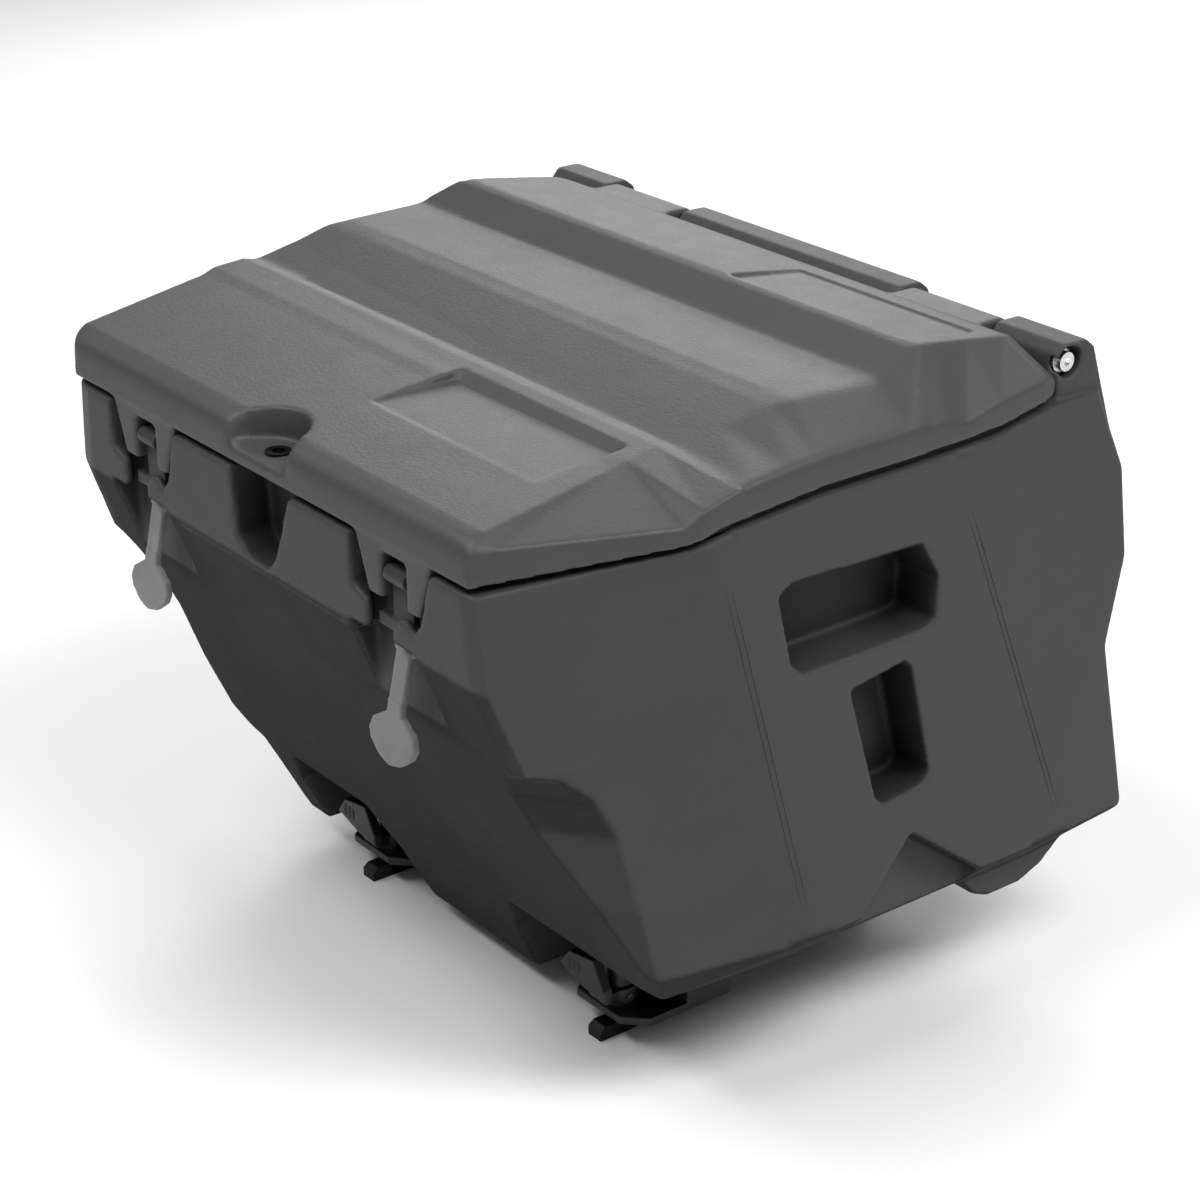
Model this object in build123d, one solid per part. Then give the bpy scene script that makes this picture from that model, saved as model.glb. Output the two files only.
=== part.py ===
from build123d import *
import math
import os

os.makedirs("parts", exist_ok=True)

# Rigid moulded cargo box with a hinged lid, two rubber latches and four rack mounts.
# Millimetres. +X right, +Y to the back, +Z up, with the front of the box facing -Y.
# The lists are written from the front lid seam: y = 0 on the front face, z = 0 at the seam.
# write_all() moves every piece so that the origin is under the middle of the box, on the ground.

# ---------------------------------------------------------------- driving dimensions
MID_HALF = 327.0  # half width of the flat side panels, the widest place
REAR_HALF = 321.0  # half width at the hinge
BACK_Y = 618.0  # foot of the rear wall, the furthest back
GROUND_Z = -480.0  # underside of the mount hooks
WALL = 4.0  # wall of the moulded shells
LID_WALL = 5.0
BASE_FLOOR = -368.0  # underside of the box between its feet
FEET_Z = -400.0  # foot of the rear hook blocks, where their screws go in

HINGE_Y = 520.0
HINGE_Z = 60.0
HINGE_R = 15.0  # barrel of the lid lugs
BOLT_R = 5.0
BOLT_HEAD_R = 7.5
BOLT_FLANGE_R = 9.5
BOLT_WELL_R = 12.0
BOLT_WELL_X = 303.0  # floor of the well round the bolt head
BOLT_END_X = 118.0
BUSH_R = 7.5
EAR_OUT = 315.0
EAR_IN = 241.0  # inner face of the base ears
LUG_IN = 138.0  # inner face of the lid lugs
HINGE_GAP = 1.5  # side clearance between ears and lugs

LATCH_X = 172.0  # middle of each latch pocket
PIN_Y = 9.0
PIN_Z = -26.0
PIN_R = 3.5
STRAP_HALF = 13.0

MOUNT_X = 162.0  # axis of each mount
MOUNT_Y = 212.0
SHAFT_R = 8.0  # turning shaft of the T-hook
RUNNING = 0.05  # radial clearance of a shaft in its bearing
REAR_HOOK_X = 128.0
REAR_HOOK_Y = 500.0
HOUSING_BACK = 296.0  # rear end of the mount housings
SCREW_R = 3.0
SCREW_HEAD_R = 5.5
SCREW_SPOTS = [(-24, 262), (24, 262), (-24, 287), (24, 287)]  # round a mount
RIM = 14.0  # thickness of the base round its mouth

pieces = {}  # every finished sub-part by name


# ---------------------------------------------------------------- profiles, by height z
# Front corner: where the front face ends (inner x, y) and where the side begins (outer x, y).
FRONT_INNER = [
    (90, 256, -1), (0, 256, -1), (-77, 264, 1), (-145, 268, 29), (-155, 256, 34),
    (-177, 246, 46), (-212, 250, 65), (-278, 278, 100), (-342, 292, 134), (-368, 268, 148),
]
FRONT_OUTER = [
    (90, 266, 2), (0, 268, 2), (-77, 278, 5), (-145, 287, 30), (-155, 292, 58),
    (-177, 296, 84), (-212, 298, 103), (-278, 300, 122), (-342, 301, 138), (-368, 290, 151),
]
# The left front corner stands a little fuller at the top.
FRONT_OUTER_LEFT = [(90, 278, 6), (0, 281, 6), (-77, 288, 8), (-145, 292, 32)] + FRONT_OUTER[4:]
RIB_FRONT = [(90, MID_HALF, 140), (0, MID_HALF, 166), (-342, MID_HALF, 266), (-368, 300, 270)]
RIB_REAR = [(90, MID_HALF, 366), (0, MID_HALF, 396), (-342, MID_HALF, 522), (-368, 300, 516)]
REAR_SIDE = [
    (90, REAR_HALF, 516), (78, REAR_HALF, 526), (4, REAR_HALF, 562), (-36, REAR_HALF, 582),
    (-114, REAR_HALF, 594), (-188, REAR_HALF, 579), (-335, REAR_HALF, 612), (-342, REAR_HALF, 612),
    (-368, 294, 588),
]
REAR_INNER = [
    (90, 300, 521), (78, 300, 532), (4, 300, 568), (-36, 300, 588), (-114, 300, 600),
    (-188, 300, 585), (-335, 300, BACK_Y), (-342, 300, BACK_Y), (-368, 276, 592),
]
RIGHT_COLUMNS = [FRONT_INNER, FRONT_OUTER, RIB_FRONT, RIB_REAR, REAR_SIDE, REAR_INNER]
LEFT_COLUMNS = [FRONT_INNER, FRONT_OUTER_LEFT, RIB_FRONT, RIB_REAR, REAR_SIDE, REAR_INNER]
# Seam, seen from the side (y, z): top of the base rim and bottom of the lid skirt.
BASE_RIM = [(-40, -7), (2, -7), (144, 7), (168, 13), (264, 20), (355, 21), (440, 23), (500, 32)]
LID_SKIRT = [(-40, -1), (2, -1), (144, 12), (168, 19), (262, 27), (355, 28), (440, 31), (520, 43)]

# Lid stations from front to back: shoulder (x, y, z), then the ridge beside the top (x, y, z).
LID_STATIONS = [
    ((268, -1, 17), (264, -1, 18)),
    ((268, 1, 23), (263, 1, 25)),
    ((269, 5, 26), (262, 6, 31)),
    ((272, 13, 26), (261, 14, 34)),
    ((323, 140, 26), (243, 140, 45)),
    ((327, 154, 36), (241, 154, 47)),
    ((327, 186, 44), (237, 186, 50)),
    ((327, 197, 46), (244, 197, 47)),
    ((327, 230, 49), (252, 230, 57)),
    ((327, 260, 50), (261, 268, 68)),
    ((327, 278, 50), (267, 284, 71)),
    ((327, 345, 50), (278, 358, 72.5)),
    ((327, 347, 50), (278, 388, 90)),
    ((327, 380, 48), (280, 396, 92)),
    ((327, 400, 43), (280, 412, 90)),
    ((326, 438, 51), (279, 446, 85)),
    ((323, 488, 57), (277, 486, 79)),
    ((320, 498, 55), (273, 498, 75)),
    ((316, 504, 50), (268, 504, 66)),
]

# The left side keeps the height of the top almost to its edge: the same list for that side.
LID_LEFT = [
    ((275, -1, 20), (269, -1, 21)),
    ((278, 1, 28), (271, 1, 29)),
    ((284, 5, 29), (275, 6, 33)),
    ((294, 13, 29), (284, 14, 37)),
    ((322, 140, 38), (306, 140, 49)),
    ((327, 154, 42), (312, 154, 51)),
    ((327, 186, 46), (314, 186, 52.5)),
    ((327, 197, 44), (314, 197, 49)),
    ((327, 230, 50), (312, 230, 57.5)),
    ((327, 260, 54), (311, 268, 68.5)),
    ((327, 278, 54), (304, 284, 71)),
    ((327, 345, 54), (304, 358, 72.5)),
    ((327, 347, 54), (288, 388, 90)),
    ((327, 380, 52), (280, 396, 92)),
    ((327, 400, 49), (280, 412, 90)),
] + LID_STATIONS[15:]


def column(table, z):
    """Position (x, y, z) of a corner column at height z, in straight runs."""
    for (z1, x1, y1), (z0, x0, y0) in zip(table, table[1:]):
        if z0 <= z <= z1:
            t = (z - z0) / (z1 - z0)
            return (x0 + (x1 - x0) * t, y0 + (y1 - y0) * t, z)
    raise ValueError(z)


def skin(rings):
    """Closed solid through rings of equal point count; the first and last rings are flat caps."""
    faces = [Face(Wire.make_polygon(rings[0])), Face(Wire.make_polygon(rings[-1]))]
    for low, high in zip(rings, rings[1:]):
        for i in range(len(low)):
            j = (i + 1) % len(low)
            for corner in ((low[i], low[j], high[j]), (low[i], high[j], high[i])):
                a, b, c = (Vector(*p) for p in corner)
                if (b - a).cross(c - a).length > 1e-6:
                    faces.append(Face(Wire.make_polygon(corner)))
    solid = Solid(Shell(faces))
    return solid if solid.volume > 0 else Solid(solid.wrapped.Reversed())


def body(levels, inset):
    """The box between its corner columns, drawn in by inset all round."""
    signs = [(-1, 1), (-1, 1), (-1, 0.4), (-1, -0.4), (-1, -1), (-1, -1)]
    rings = []
    for z in levels:
        sides = []
        for columns in (RIGHT_COLUMNS, LEFT_COLUMNS):
            corners = [column(table, z) for table in columns]
            sides.append([(x + sx * inset, y + sy * inset, z)
                          for (x, y, _), (sx, sy) in zip(corners, signs)])
        right, left = sides
        rings.append(right + [(-x, y, z) for x, y, z in reversed(left)])
    return skin(rings)


def front_prism(points, y0, y1):
    """Prism of an (x, z) outline, running from y0 back to y1."""
    wire = Wire.make_polygon([(x, y0, z) for x, z in points])
    return extrude(Face(wire), amount=y1 - y0, dir=(0, 1, 0))


def side_prism(points, x0, x1):
    """Prism of a (y, z) outline, running from x0 to x1."""
    wire = Wire.make_polygon([(x0, y, z) for y, z in points])
    return extrude(Face(wire), amount=abs(x1 - x0), dir=(1 if x1 > x0 else -1, 0, 0))


def rod(radius, start, end):
    """Round rod between two points."""
    start, end = Vector(*start), Vector(*end)
    way = end - start
    return Plane(origin=start, z_dir=way) * Cylinder(
        radius, way.length, align=(Align.CENTER, Align.CENTER, Align.MIN)
    )


def block(x0, x1, y0, y1, z0, z1):
    """Box between two corners."""
    size = (abs(x1 - x0), abs(y1 - y0), abs(z1 - z0))
    return Pos((x0 + x1) / 2, (y0 + y1) / 2, (z0 + z1) / 2) * Box(*size)


def grow(points, amount):
    """Outline pushed outwards by amount from its own middle, for the skin behind a recess."""
    cx = sum(p[0] for p in points) / len(points)
    cz = sum(p[1] for p in points) / len(points)
    wide = max(abs(p[0] - cx) for p in points)
    tall = max(abs(p[1] - cz) for p in points)
    return [(cx + (x - cx) * (1 + amount / wide), cz + (z - cz) * (1 + amount / tall))
            for x, z in points]


# ---------------------------------------------------------------- recesses and undersides
# Outlines seen from the front are (x, z); those seen from the side are (y, z).
LATCH_LIP_CUT = [(-52, 20), (-51, -46), (-32, -53), (-35, -100), (-3, -100), (-1, -62), (8, -53),
                 (16, -53), (24, -60), (33, -50), (48, -5), (52, 20)]
LATCH_BAY = [(-51, 20), (-50, -46), (-40, -52), (-40, -76), (40, -76), (40, -52), (48, -46), (51, 20)]
STRAP_BAY = [(-56, -76), (-56, -138), (26, -138), (26, -76)]
LIP_DEPTH = 8.0
LATCH_DEPTH = 26.0
LOCK_BAY = [(-40, 20), (-40, -20), (-37, -62), (-22, -75), (6, -75), (16, -64), (40, -9), (40, 20)]
LOCK_DEPTH = 34.0
HAND_RECESS = [(224, -47), (236, -40), (362, -43), (381, -74), (380, -108), (368, -112),
               (250, -114), (238, -104)]
HAND_DEPTH = 44.0
TIE_RECESS = [(297, -142), (350, -134), (358, -142), (382, -236), (374, -244), (336, -248),
              (327, -240)]
TIE_DEPTH = 40.0
SIDE_NOTCH = [(366, -284), (316, -345), (316, -410), (447, -410), (447, -345)]
SIDE_NOTCH_DEPTH = 26.0
FOOT_CENTRE = [(-112, -340), (-95, -386), (-84, -404), (-75, -460), (75, -460), (84, -404),
               (95, -386), (112, -340)]
FOOT_HOLLOW = [(-90, -300), (-76, -395), (-70, -455), (70, -455), (76, -395), (90, -300)]
FOOT_LEFT = [(-266, -340), (-262, -450), (-229, -450), (-230, -400), (-216, -372), (-210, -340)]
FOOT_LEFT_HOLLOW = [(-259, -300), (-256, -443), (-236, -443), (-237, -398), (-222, -366), (-216, -300)]
UPSTAND_HOLLOW = [(514, -60), (514, 64), (518, 69), (535, 69), (541, 64), (574, -36), (574, -60)]
FOOT_BACK = 556.0
REAR_FOOT = [(436, -352), (470, -388), (486, -395), (524, -395), (548, -386), (590, -352)]
REAR_FOOT_HOLLOW = [(448, -340), (475, -381), (488, -388), (522, -388), (543, -380), (572, -340)]
REAR_FOOT_X = (196.0, 297.0)
FRONT_WALL = [(-300, -145), (29, -145), (202, -470), (202, -700), (-300, -700)]

TAB = [(-50, 4), (-31, -46), (-14, -46), (-14, -10), (16, -10), (16, -46), (31, -46), (50, 4)]
PADDLE = [(-8, -120), (-9, -130), (-25, -140), (-28.5, -149), (-25, -157), (-13, -166), (0, -169),
          (13, -166), (25, -157), (28.5, -149), (25, -140), (9, -130), (8, -120)]
THUMB_X = 38.0  # half width of the thumb well in the lid's front edge
THUMB_Y = 42.0
THUMB_FLOOR = 12.0
LOCK_Y = 19.0
LOCK_R = 6.5  # padlock hole in the lid, before its eyelet
EYELET_BORE_R = 5.0

LEVER = [(-31, -413), (0, -408), (14, -431), (15, -442), (-13, -438), (-43, -429)]
HOUSING_TOP = BASE_FLOOR
HOUSING_ROOF = -382.0
HOUSING_FLOOR = -452.0  # top of the foot plate
HOUSING_FOOT = -459.0  # underside of the foot plate
HOOK_TOP = -468.0
PIN_LEVEL = -444.0


def above(profile, x0=-400, x1=400):
    """Everything above a line given from the side."""
    return side_prism(profile + [(profile[-1][0], 400), (profile[0][0], 400)], x0, x1)


def below(profile, x0=-400, x1=400):
    """Everything below a line given from the side."""
    return side_prism(profile + [(profile[-1][0], -700), (profile[0][0], -700)], x0, x1)


def raised(profile, lift, extra=()):
    """A seam line moved up by lift, with extra points at its back end."""
    return [(y, z + lift) for y, z in profile] + list(extra)


def foot(points, inset):
    """Part of the underside that hangs below the floor behind the sloping front wall."""
    slope = [(y + inset, z) for y, z in FRONT_WALL]
    return front_prism(points, 60, FOOT_BACK - inset) - side_prism(slope, -400, 400)


# ---------------------------------------------------------------- base shell
def hinge_upstand(x0, x1):
    """Upstand of the base that carries the hinge bolts, with a sloping back."""
    outline = [(508, 0), (508, 67), (515, 75), (538, 75), (547, 68), (584, -40), (540, -60)]
    return side_prism(outline, x0, x1)


def base_outside():
    """Outer form of the base with its feet and hinge upstands."""
    form = body([BASE_FLOOR, -342, -335, -278, -212, -188, -177, -155, -145, -114, -77, -36, 0, 78, 90], 0)
    form -= above(raised(BASE_RIM, 0, [(700, 32)]))
    form += foot(FOOT_CENTRE, 0)
    form += foot(FOOT_LEFT, 0)
    for side in (-1, 1):
        form += side_prism(REAR_FOOT, side * REAR_FOOT_X[0], side * REAR_FOOT_X[1])
    reach = LUG_IN - HINGE_GAP
    for x0, x1 in ((-EAR_OUT, -EAR_IN), (-reach, reach), (EAR_IN, EAR_OUT)):
        form += hinge_upstand(x0, x1)
    return form


def base_inside():
    """Hollow of the base: the main room, the narrower mouth and the well in the centre foot."""
    levels = [BASE_FLOOR + WALL, -342, -335, -278, -212, -188, -177, -155, -145, -114, -77, -36, 0, 78, 88]
    room = body(levels, WALL)
    room -= above(raised(BASE_RIM, -14, [(700, 18)]))
    room -= block(-140, 140, 505, 640, -20, 90)
    mouth = body([-60, -36, 0, 78, 88], RIM) - block(-400, 400, -20, 46, -100, 100)
    mouth -= block(-400, 400, 492, 700, -100, 100)
    hollow = room + mouth + foot(FOOT_HOLLOW, WALL) + foot(FOOT_LEFT_HOLLOW, WALL)
    for side in (-1, 1):
        hollow += side_prism(REAR_FOOT_HOLLOW, side * (REAR_FOOT_X[0] + 5), side * (REAR_FOOT_X[1] - 5))
    return hollow + side_prism(UPSTAND_HOLLOW, -106, 106)


def base_recesses():
    """Cutters of every recess in the base, and the forms that keep a wall behind each."""
    cuts = [front_prism(LOCK_BAY, -30, LOCK_DEPTH)]
    backs = [block(-50, 50, -10, LOCK_DEPTH + WALL, -84, 40)]
    for side in (-1, 1):
        shift = Pos(side * LATCH_X, 0, 0)
        cuts.append(shift * front_prism(LATCH_LIP_CUT, -30, LIP_DEPTH))
        cuts.append(shift * front_prism(LATCH_BAY, LIP_DEPTH, LATCH_DEPTH))
        cuts.append(shift * front_prism(STRAP_BAY, -30, LATCH_DEPTH))
        backs.append(shift * block(-64, 60, -10, LATCH_DEPTH + WALL, -145, 40))
        for outline, depth in ((HAND_RECESS, HAND_DEPTH), (TIE_RECESS, TIE_DEPTH),
                               (SIDE_NOTCH, SIDE_NOTCH_DEPTH)):
            floor = MID_HALF - depth
            cuts.append(side_prism(outline, side * 400, side * floor))
            backs.append(side_prism(grow(outline, WALL + 1.5), side * 400, side * (floor - WALL)))
    return cuts, backs


def screw_places():
    """(x, y, bottom z) of the screws that hold the mount housings and the rear hooks."""
    places = []
    for side in (-1, 1):
        places += [(side * MOUNT_X + x, y, HOUSING_FOOT) for x, y in SCREW_SPOTS]
        places += [(side * REAR_HOOK_X + x, REAR_HOOK_Y, FEET_Z) for x in (-15, 15)]
    return places


def base_shell():
    """Open moulded box with its recesses, hinge bores and screw bosses."""
    cuts, backs = base_recesses()
    hollow = base_inside()
    for back in backs:
        hollow -= back
    for x, y, _ in screw_places():
        hollow -= rod(10, (x, y, BASE_FLOOR - 2), (x, y, -334))
    shell = base_outside() - hollow
    for cut in cuts:
        shell -= cut
    for side in (-1, 1):
        shell -= rod(BOLT_R, (side * 330, HINGE_Y, HINGE_Z), (side * 112, HINGE_Y, HINGE_Z))
        shell -= rod(BOLT_WELL_R, (side * 330, HINGE_Y, HINGE_Z), (side * BOLT_WELL_X, HINGE_Y, HINGE_Z))
        shell -= rod(8, (side * 137, HINGE_Y, HINGE_Z), (side * 114, HINGE_Y, HINGE_Z))
    for x, y, _ in screw_places():
        shell -= rod(5, (x, y, BASE_FLOOR - 4), (x, y, -338))
    return shell


# ---------------------------------------------------------------- lid
def lid_form(inset):
    """Outer form of the lid, or the hollow inside it when inset is the wall."""
    used = slice(0, None) if inset == 0 else slice(2, -1)
    rings = []
    for pair in zip(LID_STATIONS[used], LID_LEFT[used]):
        sides = []
        for (sx, sy, sz), (rx, ry, rz) in pair:
            if inset and not rings:
                sy = ry = LID_WALL
            if inset and sy == 498:
                sy = ry = 499.0
            sides.append([(sx - inset, sy, -30), (sx - inset, sy, sz - inset), (rx - inset, ry, rz - inset)])
        right, left = sides
        rings.append(right + [(-x, y, z) for x, y, z in reversed(left)])
    return skin(rings)


def thumb_well(grown):
    """Half-oval well in the middle of the lid's front edge."""
    oval = Pos(0, 0, THUMB_FLOOR - grown) * extrude(
        Ellipse(THUMB_X + grown, THUMB_Y + grown), amount=70)
    return oval


def label_cuts():
    """Two shallow blank panels in the lid: one fades out to the front, one lies on the plateau."""
    front = side_prism([(88, 40.4), (164, 41.6), (172, 50), (172, 70), (88, 70)], 20, 222)
    rear = side_prism([(396, 89), (402, 87.5), (470, 79), (476, 95), (396, 110)], 66, 262)
    return front, rear


def lug(side):
    """Hinge lug of the lid: a barrel with a web to the lid's back."""
    x0, x1 = side * (LUG_IN + HINGE_GAP), side * (EAR_IN - HINGE_GAP)
    barrel = rod(HINGE_R, (x0, HINGE_Y, HINGE_Z), (x1, HINGE_Y, HINGE_Z))
    return barrel + side_prism([(496, 46), (496, 75), (HINGE_Y, 75), (HINGE_Y, 46)], x0, x1)


def lid_shell():
    """Lid with its skirt, latch tabs, hinge lugs, thumb well and blank label panels."""
    hollow = lid_form(LID_WALL)
    hollow -= thumb_well(LID_WALL)
    front, rear = label_cuts()
    hollow -= side_prism([(80, 34), (180, 36), (180, 80), (80, 80)], 14, 228)
    hollow -= side_prism([(390, 81), (478, 71), (478, 110), (390, 110)], 60, 268)
    shell = lid_form(0) - below(raised(LID_SKIRT, 0)) - hollow
    for side in (-1, 1):
        shell += Pos(side * LATCH_X, 0, 0) * front_prism(TAB, 1.5, 17)
        shell += lug(side)
    shell -= thumb_well(0) + front + rear
    shell -= rod(LOCK_R, (0, LOCK_Y, -20), (0, LOCK_Y, 40))
    for side in (-1, 1):
        shell -= rod(BUSH_R, (side * 120, HINGE_Y, HINGE_Z), (side * 260, HINGE_Y, HINGE_Z))
        x = side * LATCH_X
        shell -= rod(PIN_R, (x - 36, PIN_Y, PIN_Z), (x + 36, PIN_Y, PIN_Z))
    return shell


def lid_liner():
    """Inner pan that closes the hollow lid and presses on the gasket."""
    sheet = lid_form(LID_WALL) - below(LID_SKIRT) - above(raised(LID_SKIRT, 3))
    sheet -= block(-60, 60, 0, 60, -20, 80)
    for side in (-1, 1):
        sheet -= Pos(side * LATCH_X, 0, 0) * block(-52, 52, 0, 18, -20, 40)
    return sheet


def lid_gasket():
    """Rubber rim seal between the base rim and the lid."""
    ring = body([-40, -36, 0, 78], 8) - block(-400, 400, -20, 34, -100, 100)
    ring -= block(-400, 400, 488, 700, -100, 100)
    core = body([-44, -36, 0, 80], 16) - block(-400, 400, -20, 42, -100, 100)
    core -= block(-400, 400, 480, 700, -100, 100)
    return ring - core - below(BASE_RIM) - above(LID_SKIRT)


def lock_eyelet():
    """Metal sleeve that lines the padlock hole in the lid."""
    sleeve = rod(LOCK_R, (0, LOCK_Y, -1), (0, LOCK_Y, THUMB_FLOOR))
    sleeve += rod(10, (0, LOCK_Y, THUMB_FLOOR), (0, LOCK_Y, THUMB_FLOOR + 1.5))
    return sleeve - rod(EYELET_BORE_R, (0, LOCK_Y, -5), (0, LOCK_Y, 20))


# ---------------------------------------------------------------- hinge
def hinge_bolt(side):
    """Flanged socket-head bolt through ear, lug and centre upstand."""
    head_x = BOLT_WELL_X + 1.5
    shaft = rod(BOLT_R, (side * head_x, HINGE_Y, HINGE_Z), (side * BOLT_END_X, HINGE_Y, HINGE_Z))
    seat = (side * (head_x + 1.5), HINGE_Y, HINGE_Z)
    flange = rod(BOLT_FLANGE_R, (side * head_x, HINGE_Y, HINGE_Z), seat)
    head = rod(BOLT_HEAD_R, seat, (side * (head_x + 7), HINGE_Y, HINGE_Z))
    socket = Plane(origin=(side * (head_x + 7), HINGE_Y, HINGE_Z), z_dir=(-side, 0, 0))
    hexagon = socket * extrude(RegularPolygon(3.4, 6), amount=4.5)
    return shaft + flange + head - hexagon


def sleeve(radius, bore, start, end):
    """Round sleeve between two points."""
    return rod(radius, start, end) - rod(bore, start, end)


def hinge_group(radius, bore, x0, x1):
    """The same sleeve on both sides of the box, on the hinge axis."""
    return Compound([sleeve(radius, bore, (side * x0, HINGE_Y, HINGE_Z), (side * x1, HINGE_Y, HINGE_Z))
                     for side in (-1, 1)])


# ---------------------------------------------------------------- latches
def latch(side):
    """Rubber latch: eye round the pin, strap, cross bar, neck and pull paddle in one moulding."""
    piece = rod(7, (-STRAP_HALF, PIN_Y, PIN_Z), (STRAP_HALF, PIN_Y, PIN_Z))
    piece += side_prism([(10.5, PIN_Z), (15.5, PIN_Z), (15.5, -86), (10.5, -86)],
                        -STRAP_HALF, STRAP_HALF)
    piece += block(-30, 20, 9.5, 16.5, -72, -62)
    piece += side_prism([(9, -82), (15, -82), (4.5, -130), (-1.2, -130)], -8.5, 8.5)
    slab = side_prism([(0.1, -120), (6.1, -120), (-1, -172), (-7, -172)], -60, 60)
    piece += front_prism(PADDLE, -20, 20) & slab
    piece -= rod(PIN_R + RUNNING, (-20, PIN_Y, PIN_Z), (20, PIN_Y, PIN_Z))
    return Pos(side * LATCH_X, 0, 0) * piece


def latch_pin(side):
    """Pin that carries a latch between the tabs of the lid."""
    x = side * LATCH_X
    return rod(PIN_R, (x - 36, PIN_Y, PIN_Z), (x + 36, PIN_Y, PIN_Z))


# ---------------------------------------------------------------- mounts
def mount_housing():
    """Fixed block of a mount: roof, back and foot plate round the turning hub, at x = 0."""
    roof = block(-40, 40, 190, HOUSING_BACK, HOUSING_ROOF, HOUSING_TOP)
    back = block(-40, 40, 250, HOUSING_BACK, HOUSING_FOOT, HOUSING_ROOF)
    outline = [(-32, 194), (22, 194), (40, 212), (40, HOUSING_BACK), (-40, HOUSING_BACK),
               (-40, 204)]
    plate = Pos(0, 0, HOUSING_FOOT) * extrude(make_face(Polyline(*outline, outline[0])), amount=7)
    pocket = block(-35, 35, 256, HOUSING_BACK - 5, HOUSING_FLOOR + 4, -350)
    for x, y in SCREW_SPOTS:
        pocket -= rod(8, (x, y, -350), (x, y, -470))
    housing = roof + back + plate - pocket
    housing -= rod(SHAFT_R + RUNNING, (0, MOUNT_Y, HOUSING_ROOF + 20), (0, MOUNT_Y, -470))
    for x, y in SCREW_SPOTS:
        housing -= rod(SCREW_R, (x, y, -355), (x, y, -470))
        housing -= rod(SCREW_HEAD_R, (x, y, HOUSING_FOOT + 6), (x, y, -470))
    return housing


def mount_lever():
    """Hand lever with grip ribs on its face and a hub that clamps the shaft."""
    blade = front_prism(LEVER, 185, 194)
    for x in (-31, -25, -19):
        blade -= block(x, x + 3, 183, 186.5, -428, -417)
    arm = block(-11, 12, 190, MOUNT_Y, -446, -437)
    hub = rod(15, (0, MOUNT_Y, -436), (0, MOUNT_Y, HOUSING_FLOOR + 1.5))
    neck = rod(11, (0, MOUNT_Y, HOUSING_ROOF - 0.5), (0, MOUNT_Y, -436))
    piece = blade + arm + hub + neck
    piece -= rod(SHAFT_R, (0, MOUNT_Y, -380), (0, MOUNT_Y, -470))
    return piece - rod(2, (-20, MOUNT_Y, PIN_LEVEL), (20, MOUNT_Y, PIN_LEVEL))


def t_hook():
    """Turning shaft with the T-shaped foot that locks into the rack slot."""
    shaft = rod(SHAFT_R, (0, MOUNT_Y, HOUSING_ROOF + 13), (0, MOUNT_Y, -472))
    collar = rod(12, (0, MOUNT_Y, HOUSING_FOOT - 0.5), (0, MOUNT_Y, HOUSING_FOOT - 3))
    outline = [(-25, HOOK_TOP - 4), (-20, HOOK_TOP), (16, HOOK_TOP), (21, HOOK_TOP - 4),
               (21, GROUND_Z), (-25, GROUND_Z)]
    bar = side_prism([(MOUNT_Y + y, z) for y, z in outline], -8, 8)
    piece = shaft + collar + bar
    return piece - rod(2, (-20, MOUNT_Y, PIN_LEVEL), (20, MOUNT_Y, PIN_LEVEL))


def lever_pin():
    """Cross pin that keys the lever's hub to the turning shaft, at x = 0."""
    return rod(2, (-14, MOUNT_Y, PIN_LEVEL), (14, MOUNT_Y, PIN_LEVEL))


def hook_washer():
    """Thrust washer between the lever's hub and the foot plate, at x = 0."""
    return sleeve(12.5, SHAFT_R, (0, MOUNT_Y, HOUSING_FLOOR + 0.2), (0, MOUNT_Y, HOUSING_FLOOR + 1.5))


def rear_hook():
    """Fixed tongue at the back that slips under the rack, at x = 0."""
    plate = block(-24, 24, REAR_HOOK_Y - 22, REAR_HOOK_Y + 22, FEET_Z, BASE_FLOOR)
    neck = block(-8, 8, REAR_HOOK_Y - 12, REAR_HOOK_Y + 12, -470, FEET_Z)
    outline = [(-32, -466), (-28, -462), (16, -462), (20, -466), (20, GROUND_Z), (-32, GROUND_Z)]
    bar = side_prism([(REAR_HOOK_Y + y, z) for y, z in outline], -10, 10)
    piece = plate + neck + bar
    for dx in (-15, 15):
        piece -= rod(SCREW_R, (dx, REAR_HOOK_Y, -350), (dx, REAR_HOOK_Y, -410))
        piece -= rod(SCREW_HEAD_R, (dx, REAR_HOOK_Y, FEET_Z + 6), (dx, REAR_HOOK_Y, -410))
    return piece


def screws(lowest):
    """Socket screws from below, one for each place whose hole opens at the height lowest."""
    group = []
    for x, y, bottom in screw_places():
        if bottom == lowest:
            seat = bottom + 6
            head = rod(SCREW_HEAD_R, (x, y, seat - 5), (x, y, seat))
            head -= extrude(Plane(origin=(x, y, seat - 5)) * RegularPolygon(2.6, 6), amount=2.5)
            group.append(head + rod(SCREW_R, (x, y, seat), (x, y, -343)))
    return Compound(group)


def inserts():
    """Threaded brass inserts moulded into the floor of the base."""
    return Compound([sleeve(5, SCREW_R, (x, y, BASE_FLOOR), (x, y, -340)) for x, y, _ in screw_places()])


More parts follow.
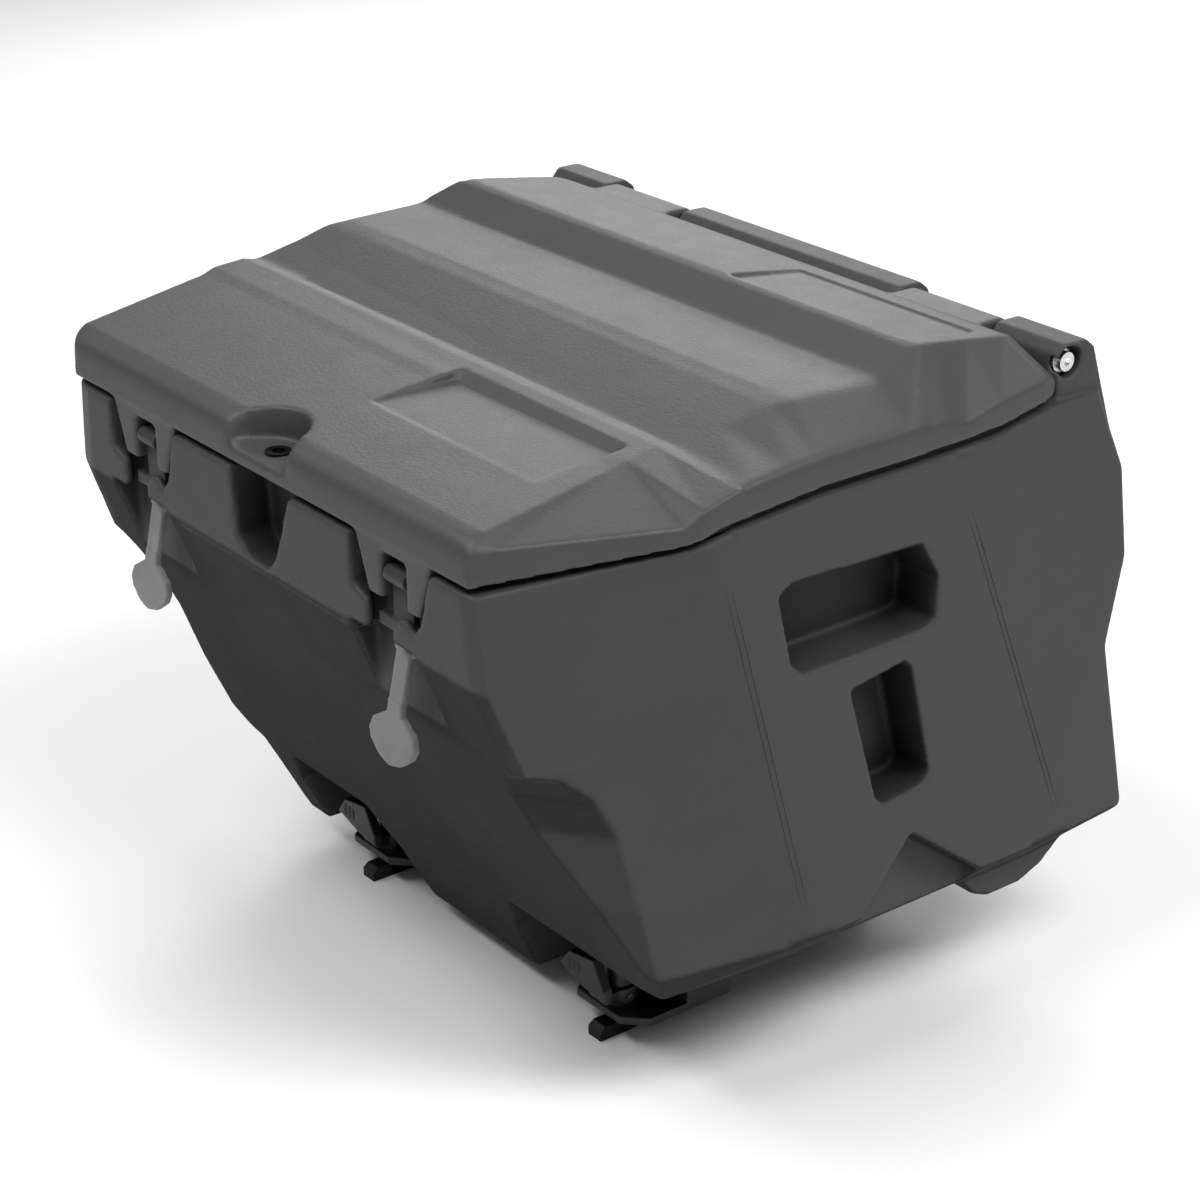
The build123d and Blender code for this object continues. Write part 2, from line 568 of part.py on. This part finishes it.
# ---------------------------------------------------------------- assembly
pieces["base_shell"] = base_shell()
pieces["lid_shell"] = lid_shell()
pieces["lid_liner"] = lid_liner()
pieces["lid_gasket"] = lid_gasket()
pieces["lock_eyelet"] = lock_eyelet()
pieces["hinge_bushings"] = hinge_group(BUSH_R, BOLT_R + RUNNING, LUG_IN + HINGE_GAP, EAR_IN - HINGE_GAP)
pieces["hinge_inserts"] = hinge_group(8, BOLT_R, 114, LUG_IN - HINGE_GAP)
pieces["hinge_washers"] = hinge_group(10.5, BOLT_R, BOLT_WELL_X, BOLT_WELL_X + 1.5)
for word, side in (("left", -1), ("right", 1)):
    at_mount = Pos(side * MOUNT_X, 0, 0)
    pieces[f"hinge_bolt_{word}"] = hinge_bolt(side)
    pieces[f"latch_{word}"] = latch(side)
    pieces[f"latch_pin_{word}"] = latch_pin(side)
    pieces[f"mount_housing_{word}"] = at_mount * mount_housing()
    pieces[f"mount_lever_{word}"] = at_mount * mount_lever()
    pieces[f"t_hook_{word}"] = at_mount * t_hook()
    pieces[f"lever_pin_{word}"] = at_mount * lever_pin()
    pieces[f"hook_washer_{word}"] = at_mount * hook_washer()
    pieces[f"rear_hook_{word}"] = Pos(side * REAR_HOOK_X, 0, 0) * rear_hook()
pieces["mount_screws"] = screws(HOUSING_FOOT)
pieces["rear_hook_screws"] = screws(FEET_Z)
pieces["floor_inserts"] = inserts()


def write_all():
    """Put the origin under the middle of the whole box, at the ground, and write each piece."""
    whole = Compound(list(pieces.values())).bounding_box()
    middle = (whole.min.Y + whole.max.Y) / 2
    for name, shape in pieces.items():
        export_step(Location((0, -middle, -GROUND_Z)) * shape, f"parts/{name}.step")


write_all()
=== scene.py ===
import math

import bmesh
import bpy
import numpy as np
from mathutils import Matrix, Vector


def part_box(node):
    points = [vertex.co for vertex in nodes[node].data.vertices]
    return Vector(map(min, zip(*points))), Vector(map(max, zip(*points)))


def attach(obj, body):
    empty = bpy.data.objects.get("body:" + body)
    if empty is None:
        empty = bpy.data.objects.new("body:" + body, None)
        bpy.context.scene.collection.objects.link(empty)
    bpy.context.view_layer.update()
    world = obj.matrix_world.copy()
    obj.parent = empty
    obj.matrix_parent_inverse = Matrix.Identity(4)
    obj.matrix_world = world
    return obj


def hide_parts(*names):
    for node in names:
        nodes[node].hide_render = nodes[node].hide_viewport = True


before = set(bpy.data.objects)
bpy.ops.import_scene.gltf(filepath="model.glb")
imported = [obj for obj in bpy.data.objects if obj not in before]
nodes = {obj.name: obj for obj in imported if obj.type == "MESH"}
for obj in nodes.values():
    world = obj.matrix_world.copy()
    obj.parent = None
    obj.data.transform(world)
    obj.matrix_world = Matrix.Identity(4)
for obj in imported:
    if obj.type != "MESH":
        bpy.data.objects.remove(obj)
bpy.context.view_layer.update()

# Camera that gives the photograph's view: place in metres, angles in degrees, lens in millimetres.
CAMERA_AT = (1.6707, -1.2918, 1.2404)
CAMERA_AZIMUTH = 52.0
CAMERA_DOWN = 24.15
LENS = 84.48
SENSOR = 36.0

# Places on the box, from the frame.
BASE_LOW, BASE_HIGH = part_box("base_shell")
LID_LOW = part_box("lid_shell")[0]
HALF_WIDTH = BASE_HIGH[0]
FRONT_Y = BASE_LOW[1] + 0.001  # front face of the base at the seam
SEAM_Z = LID_LOW[2] + 0.046  # the latch tabs of the lid reach 46 mm below the seam

COARSE = 1.0


def at(x, y, z):
    """Place given in mm from the front of the seam, in the frame's metres."""
    return Vector((x / 1000, FRONT_Y + y / 1000, SEAM_Z + z / 1000))


# ---------------------------------------------------------------- shader nodes
def new_material(name):
    """A new material with its node tree and its shader."""
    mat = bpy.data.materials.new(name)
    mat.use_nodes = True
    tree = mat.node_tree
    return mat, tree, tree.nodes["Principled BSDF"]


def link(tree, a, b):
    tree.links.new(a, b)


def shade(colour, times):
    """The colour made times as bright, up to white."""
    return tuple(min(1.0, c * times) for c in colour)


def noise(tree, scale, detail, vector, rough=0.5):
    """Noise from 0 to 1, with scale cells to the metre."""
    n = tree.nodes.new("ShaderNodeTexNoise")
    n.inputs["Scale"].default_value = scale
    n.inputs["Detail"].default_value = detail
    n.inputs["Roughness"].default_value = rough
    link(tree, vector, n.inputs["Vector"])
    return n.outputs["Fac"]


def ramp(tree, value, stops):
    """Colour from a value, through (place, colour) stops."""
    r = tree.nodes.new("ShaderNodeValToRGB")
    for item, (place, colour) in zip(r.color_ramp.elements, stops):
        item.position = place
        item.color = (*colour, 1)
    link(tree, value, r.inputs["Fac"])
    return r.outputs["Color"]


def span(tree, value, low, high, out_low, out_high):
    """Stretch the range low..high of a value to out_low..out_high, clamped."""
    m = tree.nodes.new("ShaderNodeMapRange")
    for name, v in (("From Min", low), ("From Max", high), ("To Min", out_low), ("To Max", out_high)):
        m.inputs[name].default_value = v
    link(tree, value, m.inputs["Value"])
    return m.outputs["Result"]


def maths(tree, op, a, b):
    """Sum or product of two values, each a number or a socket."""
    m = tree.nodes.new("ShaderNodeMath")
    m.operation = op
    for socket, v in zip(m.inputs, (a, b)):
        if isinstance(v, (int, float)):
            socket.default_value = v
        else:
            link(tree, v, socket)
    return m.outputs[0]


def mix(tree, share, a, b):
    """Colour a with a share of colour b laid over it."""
    m = tree.nodes.new("ShaderNodeMix")
    m.data_type = "RGBA"
    for socket, v in ((m.inputs["Factor"], share), (m.inputs["A"], a), (m.inputs["B"], b)):
        if isinstance(v, tuple):
            socket.default_value = (*v, 1)
        else:
            link(tree, v, socket)
    return m.outputs["Result"]


def bump(tree, height, strength, distance, below=None):
    """Normal of a bumpy surface, on top of another one if below is given."""
    b = tree.nodes.new("ShaderNodeBump")
    b.inputs["Strength"].default_value = strength
    b.inputs["Distance"].default_value = distance
    link(tree, height, b.inputs["Height"])
    if below is not None:
        link(tree, below, b.inputs["Normal"])
    return b.outputs["Normal"]


# ---------------------------------------------------------------- materials
def moulded_plastic(name, colour, rough, grain=1.0, edge_wear_and_highlight=0.4, gloss=0.42, painted_shade_under=0.0):
    """Moulded plastic with fine grain, faint clouds, rubbed edges that also carry a painted highlight, and
    specks.

    The last argument sets painted shade: it darkens the faces that look down and the hollows, and makes
    them rougher.
    """
    mat, tree, shader = new_material(name)
    coords = tree.nodes.new("ShaderNodeTexCoord")
    where = coords.outputs["Object"]
    cloud = noise(tree, 7.0, 3.0, where)
    streak = noise(tree, 34.0, 4.0, where)
    fine = noise(tree, 900.0, 2.0, where, 0.6)
    coarse = noise(tree, 330.0, 2.0, where, 0.55)
    speck = noise(tree, 1500.0, 0.0, where)
    base = ramp(tree, cloud, ((0.3, shade(colour, 0.95)), (0.7, shade(colour, 1.05))))
    base = mix(tree, span(tree, streak, 0.35, 0.7, 0.0, 0.06), base, shade(colour, 0.9))
    base = mix(tree, span(tree, speck, 0.68, 0.78, 0.0, 0.35), base, shade(colour, 1.7))
    geo = tree.nodes.new("ShaderNodeNewGeometry")
    # Edges lighter where the surface is pointy: partly wear, partly a painted highlight on the rims.
    edge = span(tree, geo.outputs["Pointiness"], 0.505, 0.55, 0.0, edge_wear_and_highlight)
    edge = maths(tree, "MULTIPLY", edge, span(tree, noise(tree, 60.0, 3.0, where), 0.4, 0.65, 0.3, 1.0))
    base = mix(tree, edge, base, shade(colour, 1.6))
    if painted_shade_under:
        # Painted shade: faces that look down get a darker colour.
        facing = tree.nodes.new("ShaderNodeSeparateXYZ")
        link(tree, coords.outputs["Normal"], facing.inputs["Vector"])
        under_shade_mask = span(tree, facing.outputs["Z"], -0.08, -0.4, 0.0, painted_shade_under)
        under_shade_mask = maths(tree, "MULTIPLY", under_shade_mask, span(tree, cloud, 0.3, 0.7, 0.88, 1.0))
        base = mix(tree, under_shade_mask, base, shade(colour, 0.25))
        # Painted shade: ambient occlusion darkens the colour in the hollows.
        hollow = tree.nodes.new("ShaderNodeAmbientOcclusion")
        hollow.only_local = True
        hollow.samples = 6
        hollow.inputs["Distance"].default_value = 0.07
        hollow_shade = span(tree, hollow.outputs["AO"], 0.78, 0.3, 0.0, 0.92)
        base = mix(tree, hollow_shade, base, shade(colour, 0.08))
    link(tree, base, shader.inputs["Base Color"])
    r = span(tree, streak, 0.3, 0.7, rough - 0.02, rough + 0.02)
    r = maths(tree, "ADD", r, span(tree, coarse, 0.3, 0.7, -0.03, 0.03))
    if painted_shade_under:
        r = maths(tree, "ADD", r, maths(tree, "MULTIPLY", under_shade_mask, 0.5))
    link(tree, r, shader.inputs["Roughness"])
    first = bump(tree, fine, 0.35 * grain, 0.0004)
    normal = bump(tree, coarse, 0.30 * grain, 0.0007, first)
    link(tree, normal, shader.inputs["Normal"])
    shader.inputs["Specular IOR Level"].default_value = gloss
    return mat


def rubber(name, colour, rough):
    """Moulded rubber with soft grain, dust in patches and a sheen."""
    mat, tree, shader = new_material(name)
    where = tree.nodes.new("ShaderNodeTexCoord").outputs["Object"]
    cloud = noise(tree, 40.0, 4.0, where)
    fine = noise(tree, 1400.0, 2.0, where, 0.6)
    base = ramp(tree, cloud, ((0.3, shade(colour, 0.85)), (0.72, shade(colour, 1.2))))
    link(tree, base, shader.inputs["Base Color"])
    link(tree, span(tree, cloud, 0.3, 0.7, rough - 0.07, rough + 0.07), shader.inputs["Roughness"])
    link(tree, bump(tree, fine, 0.25, 0.0003), shader.inputs["Normal"])
    shader.inputs["Sheen Weight"].default_value = 0.15
    shader.inputs["Sheen Roughness"].default_value = 0.5
    return mat


def metal(name, colour, rough):
    """Plated or coated metal with turning marks and stains."""
    mat, tree, shader = new_material(name)
    where = tree.nodes.new("ShaderNodeTexCoord").outputs["Object"]
    stretch = tree.nodes.new("ShaderNodeMapping")
    stretch.inputs["Scale"].default_value = (1.0, 1.0, 14.0)
    link(tree, where, stretch.inputs["Vector"])
    lines = noise(tree, 260.0, 3.0, stretch.outputs["Vector"])
    stain = noise(tree, 90.0, 3.0, where)
    base = ramp(tree, stain, ((0.35, shade(colour, 0.86)), (0.7, colour)))
    link(tree, base, shader.inputs["Base Color"])
    shader.inputs["Metallic"].default_value = 1.0
    r = span(tree, lines, 0.3, 0.7, rough - 0.08, rough + 0.1)
    link(tree, r, shader.inputs["Roughness"])
    link(tree, bump(tree, lines, 0.06, 0.0002), shader.inputs["Normal"])
    return mat


# The base's material has painted shade on its downward faces and in its hollows.
BASE = moulded_plastic("base_plastic", (0.0485, 0.0485, 0.0488), 0.56, gloss=0.2, painted_shade_under=0.8)
LID = moulded_plastic("lid_plastic", (0.0465, 0.0465, 0.0468), 0.54)
LINER = moulded_plastic("liner_plastic", (0.045, 0.046, 0.048), 0.55)
BLACK = moulded_plastic("black_plastic", (0.011, 0.011, 0.012), 0.42, grain=0.6, edge_wear_and_highlight=0.15)
RUBBER = rubber("black_rubber", (0.010, 0.010, 0.011), 0.75)
PADDLE = rubber("grey_rubber", (0.15, 0.15, 0.152), 0.6)
ZINC = metal("bright_steel", (0.75, 0.75, 0.76), 0.28)
BRASS = metal("brass_inserts", (0.62, 0.42, 0.16), 0.35)
COATED = metal("black_steel", (0.03, 0.03, 0.031), 0.45)
NYLON = moulded_plastic("white_plastic", (0.62, 0.61, 0.57), 0.35, grain=0.3, edge_wear_and_highlight=0.0)


def paint(obj, mat):
    """Give the object one material."""
    obj.data.materials.clear()
    obj.data.materials.append(mat)


# ---------------------------------------------------------------- soft moulded skins
def bake(obj):
    """Apply the object's modifiers to its mesh."""
    depsgraph = bpy.context.evaluated_depsgraph_get()
    obj.data = bpy.data.meshes.new_from_object(obj.evaluated_get(depsgraph))
    obj.modifiers.clear()


def near_line(obj, start, end, reach, outside):
    """Indices of the points within reach of a line seen from the side, further out than outside."""
    flat = np.empty(len(obj.data.vertices) * 3)
    obj.data.vertices.foreach_get("co", flat)
    points = flat.reshape(-1, 3)
    first, last = np.array(start.yz), np.array(end.yz)
    run = last - first
    t = np.clip((points[:, 1:] - first) @ run / (run @ run), 0, 1)
    gap = np.linalg.norm(points[:, 1:] - first - t[:, None] * run, axis=1)
    return np.nonzero((gap < reach) & (np.abs(points[:, 0]) > outside))[0].tolist()


def moulded(node, body, mat, voxel, smooth, faces, soft_lines=(), soft_steps=0):
    """A copy of a CAD node with its edges rounded as a mould leaves them, and more so along soft_lines."""
    obj = bpy.data.objects.new(node + "_skin", nodes[node].data.copy())
    bpy.context.scene.collection.objects.link(obj)
    remesh = obj.modifiers.new("remesh", "REMESH")
    remesh.mode = "VOXEL"
    remesh.voxel_size = voxel
    relax = obj.modifiers.new("relax", "SMOOTH")
    relax.iterations = smooth
    bake(obj)
    if soft_lines:
        soft = obj.vertex_groups.new(name="soft")
        for line in soft_lines:
            soft.add(near_line(obj, *line), 1.0, "REPLACE")
        spread = obj.modifiers.new("spread", "SMOOTH")
        spread.iterations = soft_steps
        spread.vertex_group = "soft"
        bake(obj)
    triangles = len(obj.data.polygons) * 2
    if triangles > faces:
        thin = obj.modifiers.new("thin", "DECIMATE")
        thin.ratio = faces / triangles
        bake(obj)
    obj.data.shade_smooth()
    paint(obj, mat)
    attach(obj, body)
    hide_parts(node)
    return obj


def steps(count):
    """Smoothing steps that round an edge by the same width on a coarser skin."""
    return int(count / COARSE ** 2)


# Lines that are softened: start, end, reach in metres, least distance from the middle in metres.
RIB_FOOT = -342
RIB_REACH = 0.022
RIB_OUTSIDE = HALF_WIDTH - 0.02
BASE_SOFT = [
    (at(0, 166, 0), at(0, 266, RIB_FOOT), RIB_REACH, RIB_OUTSIDE),  # front rib of each side
    (at(0, 396, 0), at(0, 522, RIB_FOOT), RIB_REACH, RIB_OUTSIDE),  # rear rib of each side
]
LID_SOFT = [
    (at(0, 5, 20), at(0, 5, 29), 0.013, 0.0),  # rounded front edge
    (at(0, 205, 56), at(0, 350, 60), 0.022, 0.240),  # shoulder beside the first plateau
]
base_skin = moulded("base_shell", "base", BASE, voxel=0.0019 * COARSE, smooth=steps(14),
                    faces=190000, soft_lines=BASE_SOFT, soft_steps=steps(160))
moulded("lid_shell", "lid", LID, voxel=0.0017 * COARSE, smooth=steps(10),
        faces=150000, soft_lines=LID_SOFT, soft_steps=steps(60))

SMALL_FACES = 40000
PADDLE_SHARE = 0.6  # the lower part of a latch, its strap end and pull paddle, is grey
for side in ("left", "right"):
    latch = moulded("latch_" + side, "latch_" + side, PADDLE, 0.0008, 10, SMALL_FACES)
    latch.data.materials.append(RUBBER)
    low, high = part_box("latch_" + side)
    border = low[2] + PADDLE_SHARE * (high[2] - low[2])
    for face in latch.data.polygons:
        face.material_index = 1 if face.center.z > border else 0
    moulded("mount_housing_" + side, "base", BLACK, 0.0010, 3, SMALL_FACES)
    moulded("mount_lever_" + side, "turn_" + side, BLACK, 0.0010, 3, SMALL_FACES)


# ---------------------------------------------------------------- fine mould lines
BEAD_WIDTH = 0.0014
BEAD_HEIGHT = 0.0005
BEAD_SUNK = 0.0004
BEAD_STEPS = 40
# Cross-section of a mould line: share of its width, and whether that corner stands proud.
BEAD_CORNERS = ((-0.5, False), (-0.2, True), (0.2, True), (0.5, False))
SEARCH = 0.1  # how far outside the skin the search for it starts


def bead(name, skin, start, end, way):
    """Thin raised mould line laid on the base's skin, found by looking along way; its ends fade out."""
    way = Vector(way)
    along = (end - start).normalized()
    across = along.cross(way).normalized()
    form = bmesh.new()
    rows = []
    for i in range(BEAD_STEPS + 1):
        t = i / BEAD_STEPS
        hit, place, _, _ = skin.ray_cast(start.lerp(end, t) - way * SEARCH, way)
        if not hit:
            continue
        fade = min(1.0, 8 * t, 8 * (1 - t))
        top = -way * (BEAD_HEIGHT * fade)
        sunk = way * BEAD_SUNK
        rows.append([form.verts.new(place + across * (BEAD_WIDTH * share) + (top if proud else sunk))
                     for share, proud in BEAD_CORNERS])
    for a, b in zip(rows, rows[1:]):
        for i in range(4):
            j = (i + 1) % 4
            form.faces.new((a[i], a[j], b[j], b[i]))
    form.faces.new(rows[0])
    form.faces.new(list(reversed(rows[-1])))
    bmesh.ops.recalc_face_normals(form, faces=form.faces)
    mesh = bpy.data.meshes.new(name)
    form.to_mesh(mesh)
    form.free()
    obj = bpy.data.objects.new(name, mesh)
    bpy.context.scene.collection.objects.link(obj)
    paint(obj, BASE)
    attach(obj, "base")


# All in mm from the front of the seam.
BAND_LINES = (-81.5, -84.0)  # heights of the pair under the front band
BAND_REACH = 128
RIB_LINES = ((171, 259), (402, 528))  # each rib's first line: y at its top and at its foot
RIB_PAIR = (0, 5)  # each rib has two lines, this far apart
RIB_LINE_TOP = -16
RIB_LINE_FOOT = -320
for number, drop in enumerate(BAND_LINES):
    bead(f"band_line_{number}", base_skin, at(-BAND_REACH, -20, drop), at(BAND_REACH, -20, drop), (0, 1, 0))
for word, sign in (("left", -1), ("right", 1)):
    x = sign * HALF_WIDTH * 1000
    for spot, (top_y, foot_y) in enumerate(RIB_LINES):
        for number, shift in enumerate(RIB_PAIR):
            bead(f"rib_line_{word}_{spot}_{number}", base_skin, at(x, top_y + shift, RIB_LINE_TOP),
                 at(x, foot_y + shift, RIB_LINE_FOOT), (-sign, 0, 0))

# ---------------------------------------------------------------- CAD pieces that stay
KEPT = {
    "lid_liner": LINER, "lid_gasket": RUBBER, "lock_eyelet": COATED, "hinge_bushings": NYLON,
    "hinge_inserts": BRASS, "hinge_washers": COATED, "floor_inserts": BRASS, "mount_screws": COATED,
    "rear_hook_screws": COATED,
}
for side in ("left", "right"):
    KEPT["hinge_bolt_" + side] = ZINC
    KEPT["latch_pin_" + side] = ZINC
    KEPT["lever_pin_" + side] = ZINC
    KEPT["hook_washer_" + side] = ZINC
    KEPT["t_hook_" + side] = COATED
    KEPT["rear_hook_" + side] = COATED
for node, mat in KEPT.items():
    paint(nodes[node], mat)


# ---------------------------------------------------------------- stage
def soft_light(name, place, towards, size, power):
    """White area light, its size in metres and its power in watts."""
    data = bpy.data.lights.new(name, "AREA")
    data.shape = "RECTANGLE"
    data.size, data.size_y = size
    data.energy = power
    lamp = bpy.data.objects.new(name, data)
    bpy.context.scene.collection.objects.link(lamp)
    lamp.location = place
    lamp.rotation_euler = (Vector(towards) - Vector(place)).to_track_quat("-Z", "Y").to_euler()


def floor():
    """Plain pale floor, large enough to fill every view."""
    mesh = bpy.data.meshes.new("floor")
    form = bmesh.new()
    bmesh.ops.create_grid(form, x_segments=8, y_segments=8, size=12.0)
    form.to_mesh(mesh)
    form.free()
    obj = bpy.data.objects.new("floor", mesh)
    bpy.context.scene.collection.objects.link(obj)
    mat, tree, shader = new_material("floor_paint")
    where = tree.nodes.new("ShaderNodeTexCoord").outputs["Object"]
    pale = ramp(tree, noise(tree, 1.5, 2.0, where), ((0.3, (0.90, 0.90, 0.90)), (0.7, (0.93, 0.93, 0.93))))
    link(tree, pale, shader.inputs["Base Color"])
    shader.inputs["Roughness"].default_value = 0.9
    shader.inputs["Specular IOR Level"].default_value = 0.1
    paint(obj, mat)


floor()
world = bpy.data.worlds.new("studio")
bpy.context.scene.world = world
world.use_nodes = True
sky = world.node_tree.nodes["Background"]
sky.inputs["Color"].default_value = (1, 1, 1, 1)
sky.inputs["Strength"].default_value = 0.2

MIDDLE = (0, 0.05, 0.4)  # about the middle of the box
for name, place, size, power in (
    ("back_low", (-2.6, 2.3, 1.7), (2.0, 1.0), 30),
    ("back_mid", (-2.4, 2.0, 2.6), (2.0, 1.2), 16),
    ("left_front", (-1.8, -1.4, 2.6), (1.2, 1.2), 14),
    ("right_high", (2.0, -0.2, 3.0), (1.2, 1.2), 46),
    ("right", (2.4, 0.7, 2.9), (1.2, 1.2), 48),
    ("front", (-0.3, -1.6, 2.8), (1.6, 1.0), 46),
):
    soft_light(name, place, MIDDLE, size, power)
soft_light("far", (-2.5, 4.5, 3.5), (-2.5, 4.6, 0), (4.0, 3.0), 120)  # whitens the floor behind the box
bpy.context.scene.view_settings.view_transform = "Standard"

camera = bpy.data.objects.new("camera", bpy.data.cameras.new("camera"))
bpy.context.scene.collection.objects.link(camera)
camera.data.lens = LENS
camera.data.sensor_width = SENSOR
camera.location = CAMERA_AT
azimuth, down = math.radians(CAMERA_AZIMUTH), math.radians(CAMERA_DOWN)
look = Vector((-math.sin(azimuth) * math.cos(down), math.cos(azimuth) * math.cos(down), -math.sin(down)))
camera.rotation_euler = look.to_track_quat("-Z", "Y").to_euler()
bpy.context.scene.camera = camera
